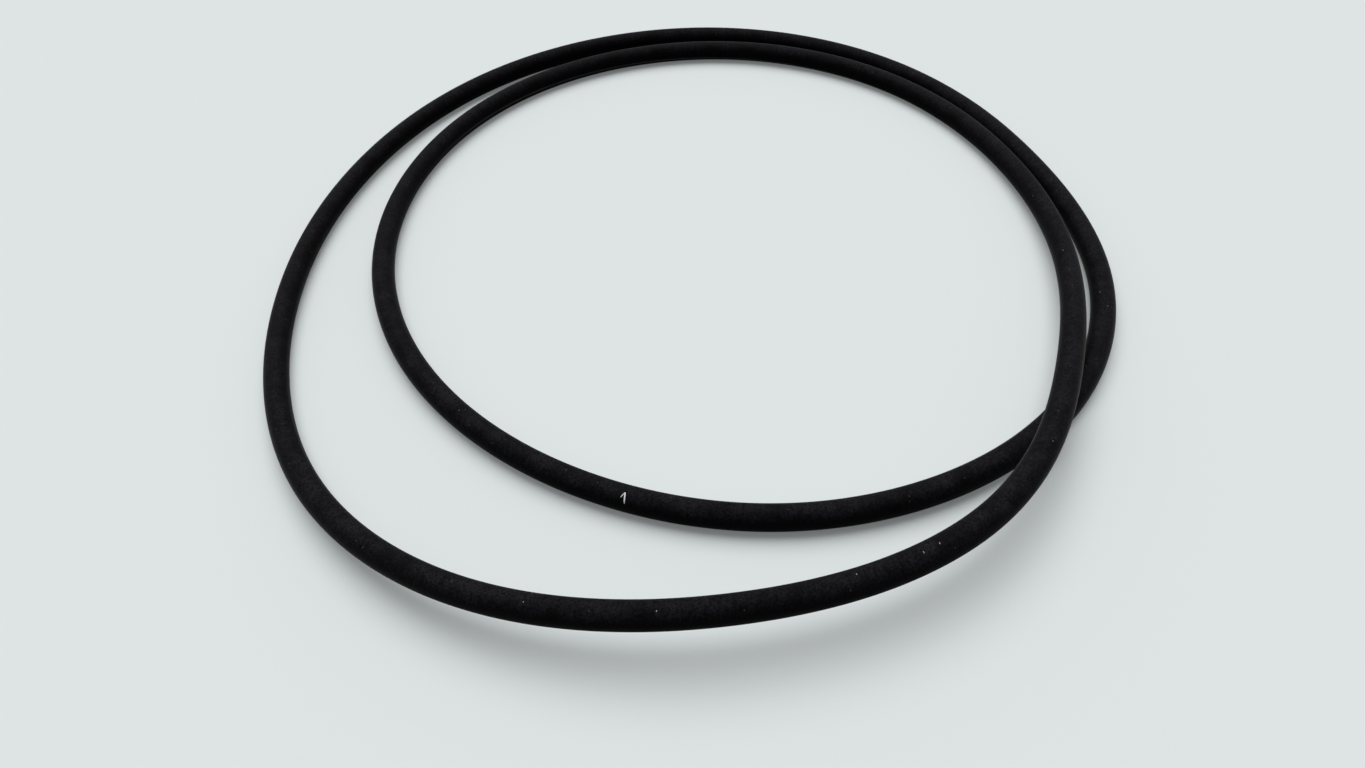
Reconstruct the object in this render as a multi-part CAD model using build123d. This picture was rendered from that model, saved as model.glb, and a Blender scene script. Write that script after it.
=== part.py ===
"""Rubber o-ring: one closed loop of round cord, moulded in one piece and laid down in two turns.

Millimetres, +Z up, the table at Z = 0. The loop is too big for the space it is kept in, so it is
folded once onto itself: it goes round twice, crosses itself once, and springs up in front of the
crossing. It has no flat faces, holes or joints.
"""
import math
import os

from build123d import *

# Driving dimensions
inside_diameter = 340.0  # of the ring when it is opened out to one circle
cord_diameter = 5.0      # round section, the same all the way along
laid_for = 340.0         # inside diameter that the two lists below were taken for

# The lay, by station: every 30 degrees, clockwise seen from above, starting at the front
station_step = 30.0
second_turn_radius = [60.4, 59.3, 63.8, 74.1, 88.4, 102.7, 105.0, 95.4, 79.6, 70.7, 68.1, 79.2]
# Clear gap from the second turn out to the first. The last is negative: there the turns have crossed
clear_gap = [16.0, 26.2, 27.1, 16.6, 9.1, 5.1, 3.3, 1.3, -0.6, 3.7, -0.1, -19.0]
pole_x = 8.7    # the point that the radii are measured from, off the middle of the part
pole_y = -14.1

# The crossing: the second turn climbs over the first, stays up round the front and comes down
# The turns cross part-way up the climb, so the lift is one cord and some to spare
lift_spare = 2.2
lift = cord_diameter + lift_spare
climb_from, climb_to = 581.0, 704.0
fall_from, fall_to = 722.0, 799.0

path_points = 120


def bump(steps_away):
    """Weight of a station on the cord some steps away: a cubic bump two steps wide each side."""
    away = abs(steps_away)
    if away < 1:
        return 2 / 3 - away ** 2 + away ** 3 / 2
    if away < 2:
        return (2 - away) ** 3 / 6
    return 0.0


def radius_at(angle, radii):
    """Distance from the pole: the stations' radii, each weighted by its bump."""
    count = len(radii)
    total = 0.0
    for number, radius in enumerate(radii):
        steps_away = (angle / station_step - number + count / 2) % count - count / 2
        total += radius * bump(steps_away)
    return total


def ease(angle, start, end):
    """0 before start, 1 after end, and half a cosine wave between them."""
    part_way = min(max((angle - start) / (end - start), 0.0), 1.0)
    return (1 - math.cos(math.pi * part_way)) / 2


def height_at(angle):
    """Height of the cord's middle: half a cord on the table, and the lift where it climbs over."""
    unwrapped = angle + 720 if angle < 180 else angle
    raised = ease(unwrapped, climb_from, climb_to) * (1 - ease(unwrapped, fall_from, fall_to))
    return cord_diameter / 2 + lift * raised


# The cord's middle line: two turns, closed on itself
stretch = inside_diameter / laid_for
inner = [radius * stretch for radius in second_turn_radius]
outer = [radius + cord_diameter + gap * stretch for radius, gap in zip(inner, clear_gap)]
radii = outer + inner
middle_line = []
for number in range(path_points):
    angle = 720 * number / path_points
    heading = math.radians(-90 - angle)
    radius = radius_at(angle, radii)
    x = pole_x * stretch + radius * math.cos(heading)
    y = pole_y * stretch + radius * math.sin(heading)
    middle_line.append(Vector(x, y, height_at(angle)))
path = Edge.make_spline(middle_line, periodic=True)

# The tube's wall is swept in two halves and closed on itself, so the solid has no end faces
walls = []
for start, end in ((0.0, 0.5), (0.5, 1.0)):
    half = path.trim(start, end)
    section = Plane(origin=half @ 0, z_dir=half % 0) * Circle(cord_diameter / 2)
    tube = sweep(section, path=half)
    walls.append(tube.faces().sort_by(SortBy.AREA)[-1])
o_ring = Solid(Shell(walls))
o_ring.label = "o_ring"

os.makedirs("parts", exist_ok=True)
export_step(o_ring, "parts/o_ring.step")
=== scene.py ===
import math

import bpy
import numpy as np
from mathutils import Matrix, Vector


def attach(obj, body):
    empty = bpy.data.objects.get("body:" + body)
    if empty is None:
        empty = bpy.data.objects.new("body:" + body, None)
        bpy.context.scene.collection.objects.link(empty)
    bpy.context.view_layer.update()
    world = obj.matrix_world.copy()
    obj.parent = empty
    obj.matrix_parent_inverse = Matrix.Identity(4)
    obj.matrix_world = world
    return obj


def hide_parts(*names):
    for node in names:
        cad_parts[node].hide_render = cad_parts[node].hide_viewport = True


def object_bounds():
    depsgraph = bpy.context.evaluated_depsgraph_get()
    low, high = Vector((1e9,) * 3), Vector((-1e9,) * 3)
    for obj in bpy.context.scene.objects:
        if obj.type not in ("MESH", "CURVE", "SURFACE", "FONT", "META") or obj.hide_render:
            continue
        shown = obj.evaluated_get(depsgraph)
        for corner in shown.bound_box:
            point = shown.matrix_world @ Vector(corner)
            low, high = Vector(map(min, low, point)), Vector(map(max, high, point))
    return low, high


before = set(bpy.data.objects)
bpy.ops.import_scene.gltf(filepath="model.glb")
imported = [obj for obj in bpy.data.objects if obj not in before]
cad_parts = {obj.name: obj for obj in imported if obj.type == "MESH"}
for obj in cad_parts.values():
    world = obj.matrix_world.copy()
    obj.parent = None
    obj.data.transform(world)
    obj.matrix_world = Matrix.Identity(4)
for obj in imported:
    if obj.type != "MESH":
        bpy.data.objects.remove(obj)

cad_low, cad_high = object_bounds()

# ---- Camera ----
# In front of the ring, looking down on it at about 47 degrees and tipped a little to one side.
# Its lens sees about 69 degrees across: half the width seen is 0.6825 of the distance.
camera_place = (-0.00306, -0.177605, 0.145672)
camera_pitch = math.radians(46.6088)
camera_roll = math.radians(2.8065)
sensor_width = 36.0
half_width_seen = 0.6825

forward = np.array([0, math.cos(camera_pitch), -math.sin(camera_pitch)])
level_right = np.array([1.0, 0, 0])
level_down = np.array([0, -math.sin(camera_pitch), -math.cos(camera_pitch)])
camera_right = math.cos(camera_roll) * level_right + math.sin(camera_roll) * level_down
camera_down = math.cos(camera_roll) * level_down - math.sin(camera_roll) * level_right

lens = bpy.data.cameras.new("camera")
lens.sensor_fit = "HORIZONTAL"
lens.sensor_width = sensor_width
lens.lens = sensor_width / (2 * half_width_seen)
lens.clip_start = 0.005
camera = bpy.data.objects.new("camera", lens)
turn = np.stack([camera_right, -camera_down, -forward], axis=1)
camera.matrix_world = Matrix.Translation(camera_place) @ Matrix(turn.tolist()).to_4x4()
bpy.context.scene.collection.objects.link(camera)
bpy.context.scene.camera = camera

# ---- The ring ----
# One closed loop of round black rubber cord, compression moulded in one piece. It is folded once
# onto itself: it lies on the table in two turns and springs up where it climbs over itself.
cord_diameter = 0.005
mm_per_metre = 1000
second_turn_radius = np.array([60.4, 59.3, 63.8, 74.1, 88.4, 102.7,
                               105.0, 95.4, 79.6, 70.7, 68.1, 79.2])
clear_gap = np.array([16.0, 26.2, 27.1, 16.6, 9.1, 5.1, 3.3, 1.3, -0.6, 3.7, -0.1, -19.0])
inner_radii = second_turn_radius / mm_per_metre
outer_radii = inner_radii + cord_diameter + clear_gap / mm_per_metre
station_radii = np.concatenate([outer_radii, inner_radii])
station_step = 30.0
pole_x, pole_y = 0.0087, -0.0141
lift_spare = 0.0022
lift = cord_diameter + lift_spare
climb_from, climb_to = 581.0, 704.0
fall_from, fall_to = 722.0, 799.0


def ease(angle, start, end):
    """0 before start, 1 after end, and half a cosine wave between them."""
    part_way = np.clip((angle - start) / (end - start), 0, 1)
    return (1 - np.cos(np.pi * part_way)) / 2


def cord_middle(angle):
    """The middle of the cord at each angle along the loop, from 0 to 720 degrees.

    Angle 0 is at the front of the first turn, and angles grow clockwise as seen from above.
    Its distance from the pole is the stations' radii, each weighted by a cubic bump of the steps
    u to that station: 2/3 - u^2 + u^3/2 within one step, (2 - u)^3/6 within two, and else 0.
    Its height is half a cord, and the lift times one ease up and another down.
    """
    stations = np.arange(len(station_radii))
    half = len(station_radii) / 2
    u = np.abs((angle[:, None] / station_step - stations + half) % (2 * half) - half)
    near = 2 / 3 - u ** 2 + u ** 3 / 2
    far = np.clip(2 - u, 0, None) ** 3 / 6
    radius = np.where(u < 1, near, far) @ station_radii
    heading = np.radians(-90 - angle)
    unwrapped = (angle - 180) % 720 + 180
    raised = ease(unwrapped, climb_from, climb_to) * (1 - ease(unwrapped, fall_from, fall_to))
    x = pole_x + radius * np.cos(heading)
    y = pole_y + radius * np.sin(heading)
    return np.stack([x, y, cord_diameter / 2 + lift * raised], axis=-1)


def on_cord(angle, around, proud):
    """Points on the cord: at each angle along it, around its section, and proud of its surface.

    around is 0 on the side of the ring's hole and 90 degrees on top. Each point is the middle,
    plus the radius times the cosine of around inwards and its sine upwards, both square to the
    cord's direction.
    """
    nudge = 0.01
    ahead = cord_middle(angle + nudge) - cord_middle(angle - nudge)
    ahead /= np.linalg.norm(ahead, axis=-1, keepdims=True)
    inwards = np.cross(ahead, [0, 0, 1])
    inwards /= np.linalg.norm(inwards, axis=-1, keepdims=True)
    upwards = np.cross(inwards, ahead)
    radius = (cord_diameter / 2 + proud)[..., None]
    turned = np.radians(around)[..., None]
    return cord_middle(angle) + radius * (np.cos(turned) * inwards + np.sin(turned) * upwards)


# The mould parts on the inside and outside diameter, and leaves a low ridge there. Folding a flat
# ring into two turns twists its cord once, so the lines wander once round the section.
parting_start = -27.0
parting_from = 542.0
parting_turn = -0.5


def parting_line(angle):
    """Where the mould parted, around the section: one turn of twist over the whole loop."""
    return parting_start + parting_turn * (angle - parting_from)


# The grid's first row is where the cord lies under its own crossing. The ridge is about 4 degrees
# wide and 0.025 mm high, with two more columns of points on each side of it.
rows = 1440
first_row = 311.0
row_angle = first_row + np.arange(rows) * 720 / rows
ridge_width = 4.0
ridge_height = 0.000025
coarse_columns = 24
coarse = np.linspace(0, 180, coarse_columns, endpoint=False)
beside_ridge = np.array([-4.5, -2.5, 2.5, 4.5])
half_turn = np.sort(np.concatenate([coarse, beside_ridge % 180]))
section_angle = np.concatenate([half_turn, half_turn + 180])
columns = len(section_angle)

angle_grid, section_grid = np.meshgrid(row_angle, section_angle, indexing="ij")
from_parting = (section_grid + 90) % 180 - 90
ridge = ridge_height * np.exp(-((2 * from_parting / ridge_width) ** 2))
around_grid = section_grid + parting_line(angle_grid)
ring_points = on_cord(angle_grid.ravel(), around_grid.ravel(), ridge.ravel())

row, column = np.meshgrid(np.arange(rows), np.arange(columns), indexing="ij")
next_row, next_column = (row + 1) % rows, (column + 1) % columns
corners = [(row, column), (next_row, column), (next_row, next_column), (row, next_column)]
ring_faces = np.stack([r * columns + c for r, c in corners], axis=-1).reshape(-1, 4)

ring_mesh = bpy.data.meshes.new("o_ring_cord")
ring_mesh.from_pydata(ring_points.tolist(), [], ring_faces.tolist())
ring_mesh.polygons.foreach_set("use_smooth", np.ones(len(ring_faces), bool))

# The finish follows the cord on its own map: U counts girths along it and V goes once round it
middles = cord_middle(row_angle)
step_length = np.linalg.norm(np.roll(middles, -1, axis=0) - middles, axis=1)
girth = np.pi * cord_diameter
along = np.concatenate([[0], np.cumsum(step_length)]) / girth
share_round = np.append(section_angle, 360) / 360
u = np.stack([along[row], along[row + 1], along[row + 1], along[row]], axis=-1)
v = np.stack([share_round[column], share_round[column],
              share_round[column + 1], share_round[column + 1]], axis=-1)
cord_map = ring_mesh.uv_layers.new(name="cord_map")
cord_map.data.foreach_set("uv", np.stack([u, v], axis=-1).ravel())
ring_mesh.update()

ring = bpy.data.objects.new("o_ring_cord", ring_mesh)
bpy.context.scene.collection.objects.link(ring)
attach(ring, "root")
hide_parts("o_ring")


def add_socket(group, name, direction, kind="NodeSocketFloat"):
    """A named input or output on a shader node group."""
    group.interface.new_socket(name=name, in_out=direction, socket_type=kind)


def wire(tree, kind, settings, **sources):
    """A node of that kind, its constant inputs set by name and the others linked to sockets.

    A source's keyword is its input's name, or _ and the input's number.
    """
    node = tree.nodes.new(kind)
    for name, value in settings.items():
        if hasattr(node, name):
            setattr(node, name, value)
        else:
            node.inputs[name].default_value = value
    for name, socket in sources.items():
        plug = int(name[1:]) if name.startswith("_") else name
        tree.links.new(socket, node.inputs[plug])
    return node


# The next five functions each add a node to the tree that their first value comes from


def spread(value, low, high, least, most):
    """A value's range from low to high, stretched to run from least to most."""
    settings = {"From Min": low, "From Max": high, "To Min": least, "To Max": most}
    return wire(value.id_data, "ShaderNodeMapRange", settings, _0=value).outputs[0]


def times(first, second):
    """Two values multiplied."""
    settings = {"operation": "MULTIPLY"}
    return wire(first.id_data, "ShaderNodeMath", settings, _0=first, _1=second).outputs[0]


def scaled(value, factor):
    """A value multiplied by a plain number."""
    product = wire(value.id_data, "ShaderNodeMath", {"operation": "MULTIPLY"}, _0=value)
    product.inputs[1].default_value = factor
    return product.outputs[0]


def wave(value, kind):
    """The COSINE or SINE of an angle in radians."""
    return wire(value.id_data, "ShaderNodeMath", {"operation": kind}, _0=value).outputs[0]


def mixed(share, first, second):
    """A colour by its share from first to second, each a plain colour or a colour socket."""
    mix = wire(share.id_data, "ShaderNodeMix", {"data_type": "RGBA"}, _0=share)
    for plug, colour in ((6, first), (7, second)):
        if isinstance(colour, tuple):
            mix.inputs[plug].default_value = (*colour, 1)
        else:
            share.id_data.links.new(colour, mix.inputs[plug])
    return mix.outputs[2]


# Moulded grain: the fine pebbling that a blasted mould leaves, and broader patches
grain_group = bpy.data.node_groups.new("moulded_grain", "ShaderNodeTree")
add_socket(grain_group, "Vector", "INPUT", "NodeSocketVector")
add_socket(grain_group, "Pebbles per metre", "INPUT")
add_socket(grain_group, "Patches per metre", "INPUT")
add_socket(grain_group, "Pebble", "OUTPUT")
add_socket(grain_group, "Patch", "OUTPUT")
grain_in = grain_group.nodes.new("NodeGroupInput")
grain_out = grain_group.nodes.new("NodeGroupOutput")
for size_name, output_name, detail in (("Pebbles per metre", "Pebble", 2.0),
                                       ("Patches per metre", "Patch", 4.0)):
    noise = wire(grain_group, "ShaderNodeTexNoise", {"Detail": detail, "Roughness": 0.6},
                 _0=grain_in.outputs["Vector"], _2=grain_in.outputs[size_name])
    grain_group.links.new(noise.outputs[0], grain_out.inputs[output_name])


def placed_grain(tree, place, pebbles_per_metre, patches_per_metre=0):
    """The moulded grain in a material's tree, on Object coordinates and with its own sizes.

    Returns its pebbles and patches. A finish that has no patches leaves their number out.
    """
    grain = tree.nodes.new("ShaderNodeGroup")
    grain.node_tree = grain_group
    grain.inputs["Pebbles per metre"].default_value = pebbles_per_metre
    grain.inputs["Patches per metre"].default_value = patches_per_metre
    tree.links.new(place.outputs["Object"], grain.inputs["Vector"])
    return grain.outputs["Pebble"], grain.outputs["Patch"]


# Black rubber: near black and dull all over, painted lighter on top as painted light and near
# black below as painted shade, with faint wrinkles across the cord and pinpoint specks of dust
# The first colour is painted shade on what faces down, the second painted light on what faces up
shaded_rubber = (0.0001, 0.0001, 0.0001)
top_lit_rubber = (0.013, 0.012, 0.0148)
# This grey is a painted highlight along the parting line's ridge
painted_line_highlight = (0.09, 0.09, 0.092)
dust_speck = (0.12, 0.12, 0.12)
wrinkles_per_girth = 20.0
specks_per_metre = 850.0

rubber = bpy.data.materials.new("black_rubber")
rubber.use_nodes = True
tree = rubber.node_tree
shader = tree.nodes["Principled BSDF"]
where = tree.nodes.new("ShaderNodeTexCoord")
pebble, patch = placed_grain(tree, where, pebbles_per_metre=2600, patches_per_metre=190)

# The wrinkles follow the cord. V is bent round a circle, so they close round the section, and they
# break only where U's ends meet, under the crossing.
on_map = wire(tree, "ShaderNodeSeparateXYZ", {}, _0=where.outputs["UV"])
along_map = on_map.outputs["X"]
round_cord = scaled(on_map.outputs["Y"], 2 * math.pi)
rolled = wire(tree, "ShaderNodeCombineXYZ", {}, _0=scaled(along_map, wrinkles_per_girth),
              _1=wave(round_cord, "COSINE"), _2=wave(round_cord, "SINE"))
wrinkle = wire(tree, "ShaderNodeTexNoise", {"Scale": 1.0, "Detail": 2.0},
               _0=rolled.outputs[0]).outputs[0]

# Painted light: what faces up is painted lighter, more in some patches, pebbles and wrinkles
facing = wire(tree, "ShaderNodeSeparateXYZ", {}, _0=where.outputs["Normal"])
painted_top_light = spread(facing.outputs["Z"], 0.05, 1.0, 0.0, 0.55)
mottle = times(spread(patch, 0.36, 0.64, 0.5, 1.45), spread(pebble, 0.36, 0.64, 0.4, 1.6))
grained_top_light = times(times(painted_top_light, mottle), spread(wrinkle, 0.35, 0.65, 0.75, 1.25))
body_colour = mixed(grained_top_light, shaded_rubber, top_lit_rubber)

# On the far stretch of the second turn the parting line carries a painted highlight, a paler line
# along its ridge: the cosine of twice the turn round the cord is highest on the line and on its
# opposite. It fades in over the first two of these angles and out over the last two.
highlight_angles = [485, 510, 575, 600]
highlight_ends = np.interp(highlight_angles, row_angle, along[:-1])
on_line = spread(wave(scaled(round_cord, 2), "COSINE"), 0.96, 0.995, 0.0, 1.0)
highlit_stretch = times(spread(along_map, *highlight_ends[:2], 0.0, 1.0),
                  spread(along_map, *highlight_ends[2:], 1.0, 0.0))
line_highlit_colour = mixed(times(on_line, highlit_stretch), body_colour, painted_line_highlight)

# A speck sits in about three cells in ten, stronger the higher the cell's own random colour
cells = wire(tree, "ShaderNodeTexVoronoi", {"Scale": specks_per_metre},
             _0=where.outputs["Object"])
cell_draw = wire(tree, "ShaderNodeSeparateXYZ", {}, _0=cells.outputs["Color"])
speck = times(spread(cells.outputs["Distance"], 0.04, 0.17, 1.0, 0.0),
              spread(cell_draw.outputs["X"], 0.7, 1.0, 0.0, 1.0))
# The dust specks fade with the painted top light where the cord faces down
speckled_colour = mixed(times(speck, painted_top_light), line_highlit_colour, dust_speck)
tree.links.new(speckled_colour, shader.inputs["Base Color"])

tree.links.new(spread(patch, 0.3, 0.7, 0.5, 0.7), shader.inputs["Roughness"])
relief = wire(tree, "ShaderNodeBump", {"Strength": 0.5, "Distance": 0.00006},
              Height=times(pebble, spread(wrinkle, 0.3, 0.7, 0.7, 1.3)))
tree.links.new(relief.outputs[0], shader.inputs["Normal"])
shader.inputs["Specular IOR Level"].default_value = 0.02
shader.inputs["Sheen Weight"].default_value = 0.16
shader.inputs["Sheen Roughness"].default_value = 0.3
ring_mesh.materials.append(rubber)

# ---- Paint mark and dust ----
# A white tick, dabbed on the second turn with a fine brush, and flecks of pale dust and lint that
# cling to the rubber. Each is a thin lens of paint or fluff pressed onto the cord.


def stroke_on_cord(start, end, half_width, height, stations=14, sides=10):
    """A thin stroke laid on the cord from one (angle, around) to another.

    Its section is an ellipse, half_width across and height high, sunk to its middle in the
    surface. Both shrink towards the ends as the square root of 1 - t^2, with t from -1 to 1 along
    it, and each end closes in one point. Returns its points and faces.
    """
    t = -np.cos(np.pi * np.arange(1, stations) / stations)
    size = np.sqrt(1 - t ** 2)[:, None]
    part_way = ((1 + t) / 2)[:, None]
    turn = 2 * np.pi * np.arange(sides)[None, :] / sides
    start, end = np.array(start, float), np.array(end, float)
    girth_degree = girth / 360
    half_degree = 0.5
    line_degree = np.linalg.norm(cord_middle(start[:1] + half_degree)
                                 - cord_middle(start[:1] - half_degree))
    run = np.array([(end[0] - start[0]) * line_degree, (end[1] - start[1]) * girth_degree])
    across = np.array([-run[1] / line_degree, run[0] / girth_degree]) / np.linalg.norm(run)
    offset = half_width * size * np.cos(turn)
    angle = start[0] + (end[0] - start[0]) * part_way + across[0] * offset
    around = start[1] + (end[1] - start[1]) * part_way + across[1] * offset
    proud = height * size * np.sin(turn)
    sheet = on_cord(angle.ravel(), around.ravel(), proud.ravel())
    tips = on_cord(np.array([start[0], end[0]]), np.array([start[1], end[1]]), np.zeros(2))
    points = np.concatenate([sheet, tips])
    r, c = np.meshgrid(np.arange(stations - 2), np.arange(sides), indexing="ij")
    ahead = (c + 1) % sides
    near, far = r * sides, (r + 1) * sides
    walls = np.stack([near + c, near + ahead, far + ahead, far + c], axis=-1)
    c = np.arange(sides)
    ahead = (c + 1) % sides
    last = (stations - 2) * sides
    first_tip = np.stack([np.full(sides, len(sheet)), ahead, c], axis=-1)
    last_tip = np.stack([last + c, last + ahead, np.full(sides, len(sheet) + 1)], axis=-1)
    return points, walls.reshape(-1, 4).tolist() + first_tip.tolist() + last_tip.tolist()


def stroke_piece(name, strokes, material):
    """One piece made of several strokes on the cord, with its faces turned outwards."""
    points, faces, count = [], [], 0
    for stroke in strokes:
        stroke_points, stroke_faces = stroke_on_cord(*stroke)
        points.append(stroke_points)
        faces += [[index + count for index in face] for face in stroke_faces]
        count += len(stroke_points)
    mesh = bpy.data.meshes.new(name)
    mesh.from_pydata(np.concatenate(points).tolist(), [], faces)
    mesh.polygons.foreach_set("use_smooth", np.ones(len(faces), bool))
    mesh.materials.append(material)
    mesh.update()
    piece = bpy.data.objects.new(name, mesh)
    bpy.context.scene.collection.objects.link(piece)
    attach(piece, "root")


def chalky(name, pale, dark, pebbles_per_metre):
    """A matt pale finish, its colour broken up by the moulded grain."""
    material = bpy.data.materials.new(name)
    material.use_nodes = True
    nodes = material.node_tree
    body = nodes.nodes["Principled BSDF"]
    place = nodes.nodes.new("ShaderNodeTexCoord")
    fine_grain = placed_grain(nodes, place, pebbles_per_metre)[0]
    nodes.links.new(mixed(fine_grain, dark, pale), body.inputs["Base Color"])
    rough = wire(nodes, "ShaderNodeBump", {"Strength": 0.3, "Distance": 0.00003},
                 Height=fine_grain)
    nodes.links.new(rough.outputs[0], body.inputs["Normal"])
    body.inputs["Roughness"].default_value = 0.8
    return material


white_paint = chalky("white_paint", pale=(0.95, 0.95, 0.94), dark=(0.8, 0.8, 0.8),
                     pebbles_per_metre=3000)
pale_dust = chalky("pale_dust", pale=(0.4, 0.4, 0.39), dark=(0.2, 0.2, 0.2),
                   pebbles_per_metre=4000)

# Angle and around of each end in degrees, and half width and height in metres
tick_top = (382.1, 101)
tick_strokes = [
    (tick_top, (381.75, 149), 0.00014, 0.00004),
    (tick_top, (382.65, 127), 0.00008, 0.000035),
]
stroke_piece("paint_tick", tick_strokes, white_paint)

# Angle and around of each fleck's middle, and its half length along and around the cord in mm.
# One degree of angle is about 1.5 mm along the cord.
flecks = [
    (629.2, 66, 0.13, 0.1), (277.5, 63, 0.09, 0.02), (280.7, 96, 0.02, 0.11),
    (676.6, 108, 0.1, 0.02), (612.3, 46, 0.09, 0.03), (699.7, 92, 0.05, 0.2),
    (702.0, 96, 0.04, 0.22), (710.2, 84, 0.02, 0.15), (11.7, 106, 0.02, 0.15),
    (25.2, 101, 0.04, 0.12), (417.8, 98, 0.1, 0.02),
]
fleck_half_width = 0.00008
fleck_height = 0.00003
fleck_grid = 8
mm_per_degree_along = 1.5
fleck_strokes = []
for angle, around, half_along, half_around in flecks:
    reach_angle = half_along / mm_per_degree_along
    reach_around = half_around * 360 / (girth * mm_per_metre)
    start = (angle - reach_angle, around - reach_around)
    end = (angle + reach_angle, around + reach_around)
    fleck_strokes.append((start, end, fleck_half_width, fleck_height, fleck_grid, fleck_grid))
stroke_piece("dust_flecks", fleck_strokes, pale_dust)

# ---- Table, light and backdrop ----
# A plain pale table under one broad soft lamp above and behind the ring, in a pale room that is
# darker towards the front. The table throws little of its own light back up.
pale = (0.732, 0.777, 0.777)
table_size = 3.0
table_glow = 0.17
table_bounce = 0.08


def seen_directly(tree):
    """1 for what the camera sees, straight or in a gloss or through glass, and else 0."""
    path = tree.nodes.new("ShaderNodeLightPath")
    larger = {"operation": "MAXIMUM"}
    mirrored = wire(tree, "ShaderNodeMath", larger,
                    _0=path.outputs["Is Camera Ray"], _1=path.outputs["Is Glossy Ray"])
    seen = wire(tree, "ShaderNodeMath", larger,
                _0=mirrored.outputs[0], _1=path.outputs["Is Transmission Ray"])
    return seen.outputs[0]


table_mesh = bpy.data.meshes.new("table_top")
edge = table_size / 2
low = cad_low[2]
table_corners = [(-edge, -edge, low), (edge, -edge, low), (edge, edge, low), (-edge, edge, low)]
table_mesh.from_pydata(table_corners, [], [(0, 1, 2, 3)])
laminate = bpy.data.materials.new("pale_laminate")
laminate.use_nodes = True
table_tree = laminate.node_tree
table_shader = table_tree.nodes["Principled BSDF"]
lit_pale = tuple((1 - table_glow) * channel for channel in pale)
thrown_back = tuple(table_bounce * channel for channel in pale)
table_seen = seen_directly(table_tree)
table_colour = mixed(table_seen, thrown_back, lit_pale)
table_tree.links.new(table_colour, table_shader.inputs["Base Color"])
glow_colour = mixed(table_seen, (0, 0, 0), pale)
table_tree.links.new(glow_colour, table_shader.inputs["Emission Color"])
table_shader.inputs["Emission Strength"].default_value = table_glow
table_shader.inputs["Roughness"].default_value = 1.0
table_shader.inputs["Specular IOR Level"].default_value = 0.0
table_mesh.materials.append(laminate)
table = bpy.data.objects.new("table_top", table_mesh)
bpy.context.scene.collection.objects.link(table)

# The lamp gives two thirds of the light that a level sheet gets, and the room the rest
key_share = 0.665
key_from = Vector((-0.06, 0.45, 1.0)).normalized()
key = bpy.data.lights.new("soft_key", "SUN")
key.energy = key_share * math.pi / key_from.z
key.angle = math.radians(60)
key_lamp = bpy.data.objects.new("soft_key", key)
key_lamp.rotation_euler = key_from.to_track_quat("Z", "Y").to_euler()
bpy.context.scene.collection.objects.link(key_lamp)

# The room's own light grows from its front to its back, and a little towards the left
room_front = (0.02, 0.02, 0.02)
room_back = (0.65, 0.65, 0.65)
room = bpy.data.worlds.new("room")
room.use_nodes = True
room_tree = room.node_tree
direction = room_tree.nodes.new("ShaderNodeTexCoord")
towards_back = wire(room_tree, "ShaderNodeVectorMath", {"operation": "DOT_PRODUCT"},
                    _0=direction.outputs["Generated"])
towards_back.inputs[1].default_value = (-0.1, 1.0, 0)
backness = spread(towards_back.outputs["Value"], -1.0, 1.0, 0.0, 1.0)
room_light = mixed(backness, room_front, room_back)
room_colour = mixed(seen_directly(room_tree), room_light, pale)
room_tree.links.new(room_colour, room_tree.nodes["Background"].inputs["Color"])
bpy.context.scene.world = room

bpy.context.scene.view_settings.view_transform = "Standard"
